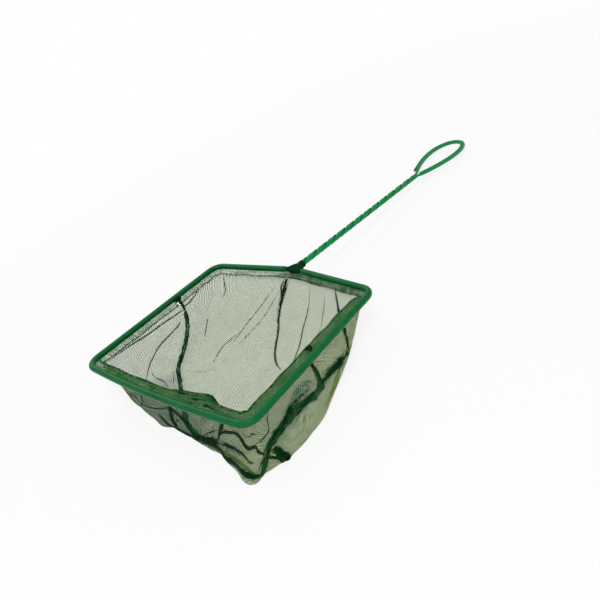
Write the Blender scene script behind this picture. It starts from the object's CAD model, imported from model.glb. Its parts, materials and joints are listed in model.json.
"""Looks of an aquarium fish net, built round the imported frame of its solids.

The net lies on a floor, on its mesh bag and on the tip of its hanging loop. Shapes are worked out
with numpy in the frame of the rim, in millimetres: x across the rim, y along the handle, z up from
the plane of the rim, with the origin at the middle of the rim's front edge. Pose.laid turns them
into metres in the frame of the row.

A place along the rim is a column: 0 at the left tie, 21 at the middle of the front edge or at the
foot of the handle, and 42 at the right tie.
"""

from __future__ import annotations

import json
import logging
import math
from dataclasses import dataclass, field
from enum import Enum
from functools import cached_property

import bpy
import numpy as np
from mathutils import Matrix

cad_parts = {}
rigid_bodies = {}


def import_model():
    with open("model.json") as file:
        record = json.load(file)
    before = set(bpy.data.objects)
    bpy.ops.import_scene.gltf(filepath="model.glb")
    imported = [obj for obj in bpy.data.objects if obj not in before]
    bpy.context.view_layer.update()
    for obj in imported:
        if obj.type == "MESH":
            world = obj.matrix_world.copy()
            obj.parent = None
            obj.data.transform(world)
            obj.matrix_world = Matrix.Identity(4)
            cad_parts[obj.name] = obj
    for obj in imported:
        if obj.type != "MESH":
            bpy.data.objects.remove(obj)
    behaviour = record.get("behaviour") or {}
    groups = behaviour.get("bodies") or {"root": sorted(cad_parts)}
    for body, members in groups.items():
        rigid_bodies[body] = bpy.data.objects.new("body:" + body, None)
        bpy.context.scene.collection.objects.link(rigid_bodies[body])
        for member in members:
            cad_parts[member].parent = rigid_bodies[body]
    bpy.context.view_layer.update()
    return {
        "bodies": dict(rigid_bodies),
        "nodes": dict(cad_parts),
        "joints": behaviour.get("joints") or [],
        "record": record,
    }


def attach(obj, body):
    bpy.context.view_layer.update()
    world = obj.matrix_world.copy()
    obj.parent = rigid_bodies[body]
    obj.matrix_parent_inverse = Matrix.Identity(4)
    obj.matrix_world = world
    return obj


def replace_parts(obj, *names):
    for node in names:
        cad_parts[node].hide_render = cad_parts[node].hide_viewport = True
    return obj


LOG = logging.getLogger("fish_net")
BODY = "root"
COLUMNS = 42
HALF = 21
TURN = 2 * math.pi
UP = np.array([0.0, 0.0, 1.0])
MIRROR = np.array([-1.0, 1.0])
# metres from netting to floor, the lowest painted gather, the layers of netting a ray may pass
FLOOR_GAP = 0.0001
LOOSEST = -0.5
SEEN_LAYERS = 40

Piece = bpy.types.Object
Material = bpy.types.Material
Points = np.ndarray
Colour = tuple[float, float, float]
Place = tuple[float, float, float]
Window = tuple[float, float, float, float]
Pair = tuple[float, float]
Table = tuple[Pair, ...]


class Panel(Enum):
    """The two pieces of netting that make the bag."""

    FRONT = "front"
    BACK = "back"


def linear(red: int, green: int, blue: int) -> Colour:
    """Turn a screen colour into the linear one that a shader takes.

    Args:
        red: Red, from 0 to 255.
        green: Green, from 0 to 255.
        blue: Blue, from 0 to 255.

    Returns:
        The three linear values.
    """

    def one(level: int) -> float:
        """Undo the screen's curve for one level."""
        share = level / 255
        return share / 12.92 if share <= 0.04045 else ((share + 0.055) / 1.055) ** 2.4

    return one(red), one(green), one(blue)


def unit(vectors: Points) -> Points:
    """Vectors of length one, each divided by its own length."""
    return vectors / np.maximum(np.linalg.norm(vectors, axis=-1, keepdims=True), 1e-9)


def clamp(values: Points, low: float = 0.0, high: float = 1.0) -> Points:
    """Values held between two limits."""
    return np.minimum(np.maximum(values, low), high)


def ease(values: Points) -> Points:
    """A smooth step, 3 x^2 - 2 x^3, on values held between 0 and 1."""
    share = clamp(values)
    return share * share * (3 - 2 * share)


def bump(values: Points, centre: float, width: float) -> Points:
    """A bell, exp(-((x - centre) / width)^2)."""
    return np.exp(-(((values - centre) / width) ** 2))


def window(values: Points, start: float, rise: float, stop: float, fall: float) -> Points:
    """1 from one place to another and 0 beyond them, with a smooth step at each."""
    return ease((values - start) / rise) * (1 - ease((values - stop) / fall))


def level_at(table: Table, column: Points) -> Points:
    """A value that is given at a few columns, on straight lines between them."""
    places, values = zip(*table)
    return np.interp(column, places, values)


def curve_through(table: Points, places: Points) -> Points:
    """A smooth curve through the rows of a table.

    Between rows b and c, with a before and d after, it is the Catmull-Rom cubic
    (2b + (c - a)s + (2a - 5b + 4c - d)s^2 + (3b - a - 3c + d)s^3) / 2.

    Args:
        table: Rows of points or numbers.
        places: Where to read it, 0 at the first row and one more at each row.

    Returns:
        One row for each place.
    """
    count = len(table)
    index = np.clip(np.floor(places).astype(int), 0, count - 2)
    share = (places - index)[..., None]
    a, b = table[np.maximum(index - 1, 0)], table[index]
    c, d = table[index + 1], table[np.minimum(index + 2, count - 1)]
    cubic = 3 * b - a - 3 * c + d
    return (2 * b + (c - a) * share + (2 * a - 5 * b + 4 * c - d) * share**2 + cubic * share**3) / 2


def lengths_along(path: Points) -> Points:
    """The distance from the first point of a path to each of its points, along it."""
    steps = np.linalg.norm(np.diff(path, axis=0), axis=1)
    return np.concatenate([[0.0], np.cumsum(steps)])


def evenly(path: Points, step: float) -> Points:
    """The same path with its points a step apart.

    Args:
        path: Points of the path.
        step: Distance from point to point.

    Returns:
        The new points, with both ends kept.
    """
    along = lengths_along(path)
    places = np.linspace(0, along[-1], max(int(round(along[-1] / step)), 2) + 1)
    return np.stack([np.interp(places, along, path[:, k]) for k in range(path.shape[1])], axis=1)


def softened(path: Points, spread: float) -> Points:
    """A path with its kinks rounded off: each point becomes a bell-weighted mean of its neighbours.

    Args:
        path: Evenly spaced points.
        spread: Width of the bell, in points.

    Returns:
        As many points, with both ends kept.
    """
    reach = int(math.ceil(3 * spread))
    weights = np.exp(-0.5 * (np.arange(-reach, reach + 1) / spread) ** 2)
    weights /= weights.sum()
    before = 2 * path[0] - path[reach:0:-1]
    after = 2 * path[-1] - path[-2 : -reach - 2 : -1]
    longer = np.concatenate([before, path, after])
    return np.stack([np.convolve(longer[:, k], weights, "valid") for k in range(3)], axis=1)


@dataclass(frozen=True)
class Ripple:
    """Gentle unevenness, about -1 to 1 times its size: a sum of plane sine waves.

    Each wave is sin(2 pi (u cos a + v sin a) / length + phase). Its angle a, its length and its
    phase are drawn from the seed, and the coordinates u and v are scaled first.
    """

    seed: int
    count: int
    longest: float
    size: float = 1.0
    scale: Pair = (1.0, 1.0)

    def at(self, u: Points | float, v: Points | float) -> Points:
        """Add up the waves.

        Args:
            u: First coordinate.
            v: Second coordinate.

        Returns:
            One value for each pair of coordinates.
        """
        u, v = u * self.scale[0], v * self.scale[1]
        rng = np.random.default_rng(self.seed)
        angle = rng.uniform(0, math.pi, self.count)
        pitch = self.longest / rng.uniform(1.0, 3.2, self.count)
        phase = rng.uniform(0, TURN, self.count)
        total = np.zeros(np.broadcast(u, v).shape)
        for turn, length, start in zip(angle, pitch, phase):
            total += np.sin(TURN * (u * math.cos(turn) + v * math.sin(turn)) / length + start)
        return self.size * (total / math.sqrt(self.count))


@dataclass(frozen=True)
class Pose:
    """How the net lies: the tilt of its rim, the rim's height, and the middle of the whole net."""

    tilt_deg: float = 1.94089
    lift: float = 30.0
    middle_x: float = 4.94616
    middle_y: float = 197.398

    def laid(self, points: Points) -> Points:
        """Turn points of the rim's frame, in millimetres, into the row's, in metres.

        Args:
            points: x, y, z of each point.

        Returns:
            The points tilted about x, lifted, moved to the middle and scaled.
        """
        turn = math.radians(self.tilt_deg)
        x, y, z = points[..., 0], points[..., 1], points[..., 2]
        out = [
            x - self.middle_x,
            y * math.cos(turn) + z * math.sin(turn) - self.middle_y,
            self.lift + z * math.cos(turn) - y * math.sin(turn),
        ]
        return np.stack(out, axis=-1) / 1000

    def raised(self, points: Points) -> Points:
        """The reverse of laid: turn points of the row's frame into the rim's.

        Args:
            points: x, y, z of each point, in metres.

        Returns:
            The points in millimetres.
        """
        turn = math.radians(self.tilt_deg)
        x = points[..., 0] * 1000 + self.middle_x
        y = points[..., 1] * 1000 + self.middle_y
        z = points[..., 2] * 1000 - self.lift
        along = y * math.cos(turn) - z * math.sin(turn)
        return np.stack([x, along, y * math.sin(turn) + z * math.cos(turn)], axis=-1)


def square_to(direction: Points) -> Points:
    """The direction in the plane that is square to another, on its right."""
    return np.array([direction[1], -direction[0]])


def angle_of(direction: Points) -> float:
    """The angle of a direction in the plane, in radians."""
    return math.atan2(direction[1], direction[0])


@dataclass(frozen=True)
class RimShape:
    """The outline of the rim in its plane, and the curves that run inside it at a distance.

    Each half of the front and of the back goes from its middle to a corner, whose bend starts and
    stops at two columns counted from that middle, and along the side to the tie.
    """

    width: float = 150.0
    back_width: float = 147.0
    depth: float = 127.0
    rise: float = 10.0
    bow: float = 3.2
    corner_r: float = 9.0
    bend_r: float = 3.0
    strand_r: float = 1.18816
    left_tie_y: float = 80.0
    right_tie_y: float = 61.0
    tie_gap: float = 1.6
    bare: float = 8.0
    bend_from: int = 8
    bend_to: int = 12
    fineness: int = 190

    @cached_property
    def front_corner(self) -> Points:
        """Where the lines of the front and the side meet."""
        return np.array([self.width / 2, 0.0])

    @cached_property
    def back_corner(self) -> Points:
        """Where the lines of the side and the back edge meet."""
        return np.array([self.back_width / 2, self.depth])

    @cached_property
    def apex(self) -> Points:
        """Where the two halves of the back edge meet, at the handle."""
        return np.array([0.0, self.depth + self.rise])

    @cached_property
    def side_dir(self) -> Points:
        """The direction of the right side, from front to back."""
        return unit(self.back_corner - self.front_corner)

    @cached_property
    def back_dir(self) -> Points:
        """The direction of the right half of the back edge, towards the handle."""
        return unit(self.apex - self.back_corner)

    @cached_property
    def side_out(self) -> Points:
        """Out of the rim, square to its right side."""
        return square_to(self.side_dir)

    @cached_property
    def back_out(self) -> Points:
        """Out of the rim, square to the right half of its back edge."""
        return square_to(self.back_dir)

    @cached_property
    def front_r(self) -> float:
        """Radius of the bowed front edge."""
        return (self.width**2 / 4 + self.bow**2) / (2 * self.bow)

    @cached_property
    def front_c(self) -> Points:
        """Centre of the bowed front edge."""
        return np.array([0.0, self.front_r - self.bow])

    @cached_property
    def front_fillet_c(self) -> Points:
        """Centre of the front corner's bend, which touches the front edge and the side.

        Returns:
            Its x and y.
        """
        start = self.front_corner - self.corner_r * self.side_out
        reach = start - self.front_c
        across = float(reach @ self.side_dir)
        inner = (self.front_r - self.corner_r) ** 2
        return start + (-across - math.sqrt(across**2 - reach @ reach + inner)) * self.side_dir

    @cached_property
    def back_fillet_c(self) -> Points:
        """Centre of the back corner's bend, which touches the side and the back edge."""
        both = self.side_out + self.back_out
        return self.back_corner - self.corner_r * both / (1 + self.side_out @ self.back_out)

    def side_point(self, y: Points) -> Points:
        """The point of the right side at a distance y from the front corners."""
        return self.front_corner + self.side_dir * (np.asarray(y) / self.side_dir[1])[..., None]

    def half(self, panel: Panel, place: Points, inset: Points, tie_y: float) -> Points:
        """Points of the right half of the front or of the back outline.

        Each stretch is the rim's own, moved in by inset.

        Args:
            panel: The front or the back half of the rim.
            place: Where along the half, in columns from its middle.
            inset: Distance in from the wire's centre line.
            tie_y: Where the half ends on the side.

        Returns:
            x and y of each point.
        """
        place, inset = np.broadcast_arrays(np.asarray(place, float), np.asarray(inset, float))
        d = inset[..., None]
        middle = clamp(place / self.bend_from)
        corner = clamp((place - self.bend_from) / (self.bend_to - self.bend_from))
        side = clamp((place - self.bend_to) / (HALF - self.bend_to))
        side_a, back_a = angle_of(self.side_out), angle_of(self.back_out)
        end = self.side_point(tie_y)

        def arc(centre: Points, radius: Points, first: float, last: float, share: Points) -> Points:
            """Points of an arc, its angle going evenly from first to last."""
            angle = first + (last - first) * share
            return centre + (radius - d) * np.stack([np.cos(angle), np.sin(angle)], axis=-1)

        if panel is Panel.FRONT:
            front_a = angle_of(self.front_fillet_c - self.front_c)
            one = arc(self.front_c, self.front_r, -math.pi / 2, front_a, middle)
            two = arc(self.front_fillet_c, self.corner_r, front_a, side_a, corner)
            start = self.front_fillet_c + self.corner_r * self.side_out
        else:
            top = np.stack([0 * inset, self.apex[1] - inset / self.back_out[1]], axis=-1)
            heel = self.back_fillet_c + (self.corner_r - d) * self.back_out
            one = top + (heel - top) * middle[..., None]
            two = arc(self.back_fillet_c, self.corner_r, back_a, side_a, corner)
            start = self.back_fillet_c + self.corner_r * self.side_out
        three = start + (end - start) * side[..., None] - d * self.side_out
        stretch = place[..., None]
        later = np.where(stretch <= self.bend_to, two, three)
        return np.where(stretch <= self.bend_from, one, later)

    def outline(self, panel: Panel, column: Points, inset: Points, up: Points) -> Points:
        """Points along the rim from the left tie, column 0, to the right tie, column 42.

        Args:
            panel: Round the front, or round the back.
            column: Where along it.
            inset: Distance in from the wire's centre line.
            up: Height over the plane of the rim.

        Returns:
            x, y, z of each point.
        """
        column = np.asarray(column, float)
        gap = self.tie_gap / 2 * (-1 if panel is Panel.FRONT else 1)
        place = np.abs(column - HALF)
        left = self.half(panel, place, inset, self.left_tie_y + gap)
        right = self.half(panel, place, inset, self.right_tie_y + gap)
        on_left = (column < HALF)[..., None]
        flat = np.where(on_left, left * MIRROR, right)
        height = np.broadcast_to(up, flat.shape[:-1])
        return np.concatenate([flat, height[..., None]], axis=-1)

    def right_half(self, to_apex: bool) -> Points:
        """The right half of the rim as one line, front middle to the foot of the handle.

        Args:
            to_apex: Whether it goes round the bend into the handle, or stops where the tube does.

        Returns:
            x and y of each point.
        """
        places = np.linspace(0, HALF, self.fineness)
        front = self.half(Panel.FRONT, places, 0.0, self.depth / 2)
        back = self.half(Panel.BACK, places[::-1], 0.0, self.depth / 2)
        ahead = (self.apex - back) @ self.back_dir
        if not to_apex:
            kept = back[ahead > self.bare]
            return np.concatenate([front, kept[1:], [self.apex - self.bare * self.back_dir]])
        root_x = self.strand_r + self.bend_r
        root_y = self.apex[1] + (self.bend_r - root_x * self.back_out[0]) / self.back_out[1]
        root_c = np.array([root_x, root_y])
        bend_start = root_c - self.bend_r * self.back_out
        clear, steps = 0.3, 9
        kept = back[ahead > (self.apex - bend_start) @ self.back_dir + clear]
        angle = np.linspace(math.pi + angle_of(self.back_out), math.pi, steps)
        bend = root_c + self.bend_r * np.stack([np.cos(angle), np.sin(angle)], axis=-1)
        return np.concatenate([front, kept[1:], bend])


@dataclass(frozen=True)
class Handle:
    """The plane of the handle, its origin at the rim's apex: how it droops and leans."""

    rim: RimShape
    length: float = 180.0
    droop_deg: float = 3.2
    lean_deg: float = 1.0

    def hung(self, points: Points) -> Points:
        """Turn points by the lean and the droop, and move them to the apex.

        Args:
            points: x across the handle, y along it and z up, of each point.

        Returns:
            The points in the rim's frame.
        """
        droop, lean = math.radians(self.droop_deg), math.radians(self.lean_deg)
        x, y, z = points[..., 0], points[..., 1], points[..., 2]
        across = x * math.cos(lean) + y * math.sin(lean)
        ahead = y * math.cos(lean) - x * math.sin(lean)
        along = self.rim.apex[1] + ahead * math.cos(droop) + z * math.sin(droop)
        return np.stack([across, along, z * math.cos(droop) - ahead * math.sin(droop)], axis=-1)


def both_sides(right: Points) -> Points:
    """Mirror a line across the handle and join it to its image at its first point, with z at 0."""
    flat = np.concatenate([right[:0:-1] * MIRROR, right])
    return np.concatenate([flat, np.zeros((len(flat), 1))], axis=1)


def tube(
    path: Points, up: Points, radius: Points, sides: int, squash: float = 1.0,
    wide: Points | float = 0.0,
) -> Points:
    """A tube as a grid: a circle carried along a path.

    At each point the circle lies square to the path's direction t. Its first spoke is up with the
    part along t taken away, n, and its second is t x n. A point of the ring at c from the centre
    then moves on by (c . w) w, which widens the ring along w.

    Args:
        path: Points of the centre line.
        up: A direction that is never along the path, one for all points or one for each.
        radius: Radius, one for all points or one for each.
        sides: Points round the circle.
        squash: Height of the tube as a share of its width.
        wide: The vector w for each point, or 0 for a plain circle.

    Returns:
        A grid, path points by sides.
    """
    along = unit(np.gradient(path, axis=0))
    up = np.broadcast_to(up, path.shape)
    spoke = unit(up - np.sum(up * along, axis=1, keepdims=True) * along)
    other = np.cross(along, spoke)
    angle = np.linspace(0, TURN, sides, endpoint=False)[None, :, None]
    reach = np.broadcast_to(radius, len(path))[:, None, None]
    ring = squash * np.cos(angle) * spoke[:, None] + np.sin(angle) * other[:, None]
    along_w = np.broadcast_to(wide, path.shape)[:, None]
    ring = ring + np.sum(ring * along_w, axis=2, keepdims=True) * along_w
    return path[:, None] + reach * ring


def rounded_ends(radius: Points, along: Points, length: float, least: float = 0.02) -> Points:
    """A radius that falls to its least share at both ends of a path, as a quarter circle does."""
    near = clamp(np.minimum(along, along[-1] - along) / length)
    return radius * np.maximum(np.sqrt(1 - (1 - near) ** 2), least)


@dataclass
class Skin:
    """A grid of points made into a Blender mesh, with its map and its painted values."""

    name: str
    grid: Points
    ring: bool = False
    capped: bool = False
    turned: bool = False
    paint: dict[str, Points] = field(default_factory=dict)

    def faces(self) -> tuple[Points, Points]:
        """Work out the four-sided faces and the map place of each of their corners.

        Returns:
            Corners of each face as vertex numbers, and as places of the map's own grid.
        """
        rows, columns = self.grid.shape[:2]
        wide = columns if self.ring else columns - 1
        row, column = np.meshgrid(np.arange(rows - 1), np.arange(wide), indexing="ij")
        following = (column + 1) % columns
        a, b = row * columns + column, row * columns + following
        c, d = b + columns, a + columns
        span = wide + 1
        at, bt = row * span + column, row * span + column + 1
        ct, dt = bt + span, at + span
        order = [0, 3, 2, 1] if self.turned else [0, 1, 2, 3]
        corners = np.stack([a, b, c, d], axis=-1).reshape(-1, 4)[:, order]
        places = np.stack([at, bt, ct, dt], axis=-1).reshape(-1, 4)[:, order]
        return corners, places

    def build(self) -> Piece:
        """Make the mesh and its object, smooth, at the origin.

        Returns:
            The new object, linked to the scene.
        """
        rows, columns = self.grid.shape[:2]
        corners, places = self.faces()
        faces = corners.tolist()
        marks = self.chart().reshape(-1, 2)[places.reshape(-1)]
        if self.capped:
            first = list(range(columns))
            last = list(range((rows - 1) * columns, rows * columns))
            faces += [first, last[::-1]] if self.turned else [first[::-1], last]
            marks = np.concatenate([marks, np.zeros((2 * columns, 2))])
        mesh = bpy.data.meshes.new(self.name)
        mesh.from_pydata(self.grid.reshape(-1, 3).tolist(), [], faces)
        mesh.polygons.foreach_set("use_smooth", np.ones(len(faces), bool))
        layer = mesh.uv_layers.new(name="UVMap")
        layer.data.foreach_set("uv", marks.astype(np.float32).reshape(-1))
        for name, values in self.paint.items():
            attribute = mesh.attributes.new(name, "FLOAT", "POINT")
            flat = np.broadcast_to(values, (rows, columns)).astype(np.float32).reshape(-1)
            attribute.data.foreach_set("value", flat)
        mesh.update()
        piece = bpy.data.objects.new(self.name, mesh)
        bpy.context.scene.collection.objects.link(piece)
        return piece

    def chart(self) -> Points:
        """A map in metres: length round the middle row, and length along each column. Where the
        grid closes on itself the map has one column more.

        Returns:
            Two numbers for each place of the map.
        """
        steps = np.linalg.norm(np.diff(self.grid, axis=0), axis=2)
        down = np.concatenate([np.zeros((1, self.grid.shape[1])), np.cumsum(steps, axis=0)])
        middle = self.grid[len(self.grid) // 2]
        if self.ring:
            middle = np.concatenate([middle, middle[:1]])
            down = np.concatenate([down, down[:, :1]], axis=1)
        across = np.broadcast_to(lengths_along(middle), down.shape)
        return np.stack([across, down], axis=-1)


def run_of_thread(
    name: str, laid: Points, up: Points, radius: float, tip: float = 0.0005, sides: int = 9
) -> Piece:
    """Build one run of thread, a tube with rounded ends.

    Args:
        name: Its name.
        laid: Its centre line in the row's frame, in metres.
        up: A direction that is never along it, one for all points or one for each.
        radius: Its radius in metres.
        tip: Length of each rounded end in metres.
        sides: Points round it.

    Returns:
        The new object.
    """
    size = rounded_ends(np.full(len(laid), radius), lengths_along(laid), tip)
    return Skin(name, tube(laid, up, size, sides), ring=True, capped=True).build()


class Num:
    """A number that varies over a surface: a shader socket that can be reckoned with."""

    def __init__(self, shade: Shade, socket: bpy.types.NodeSocket) -> None:
        """Keep the socket and the material that it belongs to."""
        self.shade = shade
        self.socket = socket

    def _math(self, how: str, *others: Num | float, clamped: bool = False) -> Num:
        """Add a Math node for this value and others, its result held in 0 to 1 if clamped."""
        settings = {"operation": how, "use_clamp": clamped}
        return self.shade.number("ShaderNodeMath", settings, dict(enumerate((self, *others))))

    def __add__(self, other: Num | float) -> Num:
        """Sum."""
        return self._math("ADD", other)

    __radd__ = __add__

    def __mul__(self, other: Num | float) -> Num:
        """Product."""
        return self._math("MULTIPLY", other)

    __rmul__ = __mul__

    def __sub__(self, other: Num | float) -> Num:
        """Difference."""
        return self._math("SUBTRACT", other)

    def __rsub__(self, other: float) -> Num:
        """Difference from a plain number."""
        return (self * -1.0) + other

    def __truediv__(self, other: Num | float) -> Num:
        """Quotient."""
        return self._math("DIVIDE", other)

    def sine(self) -> Num:
        """Sine of an angle in radians."""
        return self._math("SINE")

    def cosine(self) -> Num:
        """Cosine of an angle in radians."""
        return self._math("COSINE")

    def held(self) -> Num:
        """The value held between 0 and 1."""
        return self._math("ADD", 0.0, clamped=True)

    def swing(self) -> Num:
        """A noise less 0.5, its average, so that it goes both ways."""
        return self - 0.5


@dataclass(frozen=True)
class Cloud:
    """A noise: its scale in patches to a metre, its finer layers, and how strong they are."""

    scale: float
    detail: float = 2.0
    roughness: float = 0.5


class Shade:
    """A material and its nodes, with one method for each kind of thing that finishes need.

    The Mix node has a set of sockets for every type of value, so the two colours that it mixes and
    their result are found by number.
    """

    MIXED = (6, 7)
    MIX = 2

    def __init__(self, name: str) -> None:
        """Start a material with a Principled shader and nothing else.

        Args:
            name: Its name.
        """
        self.material = bpy.data.materials.new(name)
        self.material.use_nodes = True
        self.tree = self.material.node_tree
        self.tree.nodes.clear()
        self.output = self.tree.nodes.new("ShaderNodeOutputMaterial")
        self.shader = self.tree.nodes.new("ShaderNodeBsdfPrincipled")
        self.tree.links.new(self.shader.outputs[0], self.output.inputs["Surface"])

    def node(self, kind: str, settings: dict, inputs: dict) -> bpy.types.Node:
        """Add any node.

        Args:
            kind: The node's type.
            settings: Properties to set first.
            inputs: Values, Nums or sockets for its inputs, by name or number.

        Returns:
            The node.
        """
        made = self.tree.nodes.new(kind)
        for key, value in settings.items():
            setattr(made, key, value)
        for key, value in inputs.items():
            self.feed(made.inputs[key], value)
        return made

    def feed(self, socket: bpy.types.NodeSocket, value: object) -> None:
        """Link or set an input.

        Args:
            socket: The input.
            value: A Num or a socket to link, or a plain value to set.
        """
        if isinstance(value, Num):
            value = value.socket
        if isinstance(value, bpy.types.NodeSocket):
            self.tree.links.new(value, socket)
        else:
            socket.default_value = value

    def number(self, kind: str, settings: dict, inputs: dict, out: str | int = 0) -> Num:
        """Add any node and take one of its results as a number."""
        return Num(self, self.node(kind, settings, inputs).outputs[out])

    def chart(self) -> tuple[Num, Num]:
        """Read the piece's own map.

        Returns:
            Its two coordinates, in metres.
        """
        place = self.node("ShaderNodeUVMap", {"uv_map": "UVMap"}, {})
        parts = self.node("ShaderNodeSeparateXYZ", {}, {0: place.outputs[0]})
        return Num(self, parts.outputs[0]), Num(self, parts.outputs[1])

    def paint(self, name: str) -> Num:
        """A value painted on the piece."""
        return self.number("ShaderNodeAttribute", {"attribute_name": name}, {}, "Fac")

    def noise(self, cloud: Cloud) -> Num:
        """Add a noise in the object's own coordinates.

        Args:
            cloud: Its scale and detail.

        Returns:
            Its value, 0.5 on average.
        """
        inputs = {
            "Vector": self.node("ShaderNodeTexCoord", {}, {}).outputs["Object"],
            "Scale": cloud.scale,
            "Detail": cloud.detail,
            "Roughness": cloud.roughness,
        }
        return self.number("ShaderNodeTexNoise", {}, inputs, "Fac")

    def blend(self, share: Num, first: object, second: object) -> bpy.types.NodeSocket:
        """Mix two colours.

        Args:
            share: 0 gives the first and 1 the second.
            first: A colour or a colour socket.
            second: A colour or a colour socket.

        Returns:
            The mixed colour's socket.
        """
        settings = {"data_type": "RGBA", "clamp_factor": True}
        made = self.node("ShaderNodeMix", settings, {0: share})
        for key, value in zip(self.MIXED, (first, second)):
            colour = (*value, 1.0) if isinstance(value, tuple) else value
            self.feed(made.inputs[key], colour)
        return made.outputs[self.MIX]

    def relief(self, height: Num, distance: float, strength: float = 0.5) -> None:
        """Give the surface a relief.

        Args:
            height: Height, 0 to 1.
            distance: What a height of 1 measures, in metres.
            strength: How much of it shows.
        """
        inputs = {"Height": height, "Distance": distance, "Strength": strength}
        made = self.node("ShaderNodeBump", {}, inputs)
        self.tree.links.new(made.outputs[0], self.shader.inputs["Normal"])

    def set(self, **values: object) -> None:
        """Set or link the shader's own sockets.

        Args:
            **values: A value, colour, Num or socket for each, named with underscores for spaces.
        """
        for key, value in values.items():
            if isinstance(value, tuple):
                value = (*value, 1.0)
            self.feed(self.shader.inputs[key.replace("_", " ")], value)


@dataclass(frozen=True)
class Plastic:
    """Soft green plastic: a shiny skin that is a little uneven, paler where it is rubbed.

    Broad patches of noise choose its colour. They and a fine grain change its roughness and raise
    its relief.
    """

    name: str
    colour: Colour
    deep: Colour
    patches: Cloud = Cloud(70.0, 3.0, 0.6)
    grain: Cloud = Cloud(900.0)
    contrast: float = 1.6
    roughness: float = 0.3
    grain_gloss: float = 0.2
    patch_gloss: float = 0.15
    specular: float = 0.14
    relief_m: float = 0.00006

    def make(self) -> Material:
        """Build the material.

        Returns:
            The material.
        """
        shade = Shade(self.name)
        patch, fine = shade.noise(self.patches), shade.noise(self.grain)
        uneven = (patch.swing() * self.contrast + 0.5).held()
        gloss = fine.swing() * self.grain_gloss
        shade.set(
            Base_Color=shade.blend(uneven, self.deep, self.colour),
            Roughness=self.roughness + gloss + patch.swing() * self.patch_gloss,
            Specular_IOR_Level=self.specular,
        )
        shade.relief(fine + patch, self.relief_m)
        return shade.material


@dataclass(frozen=True)
class Netting:
    """Fine knitted netting: six-sided holes between threads, closer where the cloth is gathered.

    The threads are where cos a + cos b + cos(a + b) is below a level, with a and b the turns along
    two directions of the weave, so holes lie in a honeycomb one pitch apart. The painted value
    "gather" raises the level, which closes the holes, and deepens the colour. The painted value
    "crease" is a tent along each fold. Noise is added to it and it is cut off below the height
    "cut", which leaves a dark line with ragged edges, where the holes close as well. Warp and
    drift move the weave along its two directions, and patches and fine vary everything else.
    """

    name: str
    thread: Colour
    deep: Colour
    crease: Colour = linear(6, 36, 12)
    pitch_m: float = 0.00096
    level: float = -0.04
    edge: float = 0.4
    closing: float = 1.6
    deepening: float = 2.4
    warp: Cloud = Cloud(240.0)
    warp_m: Pair = (0.0007, 0.0006)
    drift: Cloud = Cloud(45.0, 1.0)
    drift_m: Pair = (0.004, 0.003)
    patches: Cloud = Cloud(150.0, 3.0, 0.6)
    patch_level: float = 0.6
    patch_gather: float = 2.4
    patch_tone: float = 0.5
    patch_gloss: float = 0.2
    fine: Cloud = Cloud(420.0, 2.0, 0.6)
    ragged: Pair = (0.35, 0.3)
    cut: float = 0.62
    sharpness: float = 8.0
    line_closing: float = 1.3
    line_tone: float = 1.8
    tone: float = 0.06
    roughness: float = 0.6
    specular: float = 0.03
    mound: float = 0.3
    relief_m: float = 0.0002

    def make(self) -> Material:
        """Build the material.

        Returns:
            The material.
        """
        shade = Shade(self.name)
        across, down = shade.chart()
        warp, drift = shade.noise(self.warp).swing(), shade.noise(self.drift).swing()
        across = across + warp * self.warp_m[0] + drift * self.drift_m[0]
        down = down + warp * self.warp_m[1] + drift * self.drift_m[1]
        turn = TURN / self.pitch_m
        first = across * turn
        second = across * (-turn / 2) + down * (turn * math.sqrt(3) / 2)
        web = first.cosine() + second.cosine() + (first + second).cosine()
        gather = shade.paint("gather")
        patch, fine = shade.noise(self.patches).swing(), shade.noise(self.fine)
        ragged = patch * self.ragged[0] + fine.swing() * self.ragged[1]
        line = ((shade.paint("crease") + ragged - self.cut) * self.sharpness).held()
        uneven = patch * (gather * self.patch_gather + self.patch_level)
        level = (gather + line * self.line_closing) * self.closing + self.level + uneven
        tone = (gather * self.deepening + patch * self.patch_tone + self.tone).held()
        plain = shade.blend(tone, self.thread, self.deep)
        shade.set(
            Base_Color=shade.blend((line * fine * self.line_tone).held(), plain, self.crease),
            Roughness=self.roughness + patch * self.patch_gloss,
            Alpha=((level - web) / self.edge + 0.5).held(),
            Specular_IOR_Level=self.specular,
        )
        shade.relief((web * -self.mound).held(), self.relief_m)
        return shade.material


@dataclass(frozen=True)
class Yarn:
    """Twisted thread: plies that slant along the piece's own map, sin(2 pi (v + slant u) / ply),
    with a little fuzz. Ply and fuzz have their shares in the colour and in the relief."""

    name: str
    colour: Colour
    deep: Colour
    ply_m: float = 0.0011
    slant: float = 0.9
    fuzz: Cloud = Cloud(1400.0, 2.0, 0.7)
    tone: Pair = (0.55, 0.45)
    roughness: float = 0.72
    fuzz_gloss: float = 0.2
    specular: float = 0.06
    height: Pair = (0.7, 0.3)
    relief_m: float = 0.0002
    strength: float = 0.8

    def make(self) -> Material:
        """Build the material.

        Returns:
            The material.
        """
        shade = Shade(self.name)
        across, down = shade.chart()
        ply = ((down + across * self.slant) * (TURN / self.ply_m)).sine() * 0.5 + 0.5
        fuzz = shade.noise(self.fuzz)
        tone = (ply * self.tone[0] + fuzz * self.tone[1]).held()
        shade.set(
            Base_Color=shade.blend(tone, self.deep, self.colour),
            Roughness=self.roughness + fuzz.swing() * self.fuzz_gloss,
            Specular_IOR_Level=self.specular,
        )
        height = ply * self.height[0] + fuzz * self.height[1]
        shade.relief(height, self.relief_m, self.strength)
        return shade.material


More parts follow.
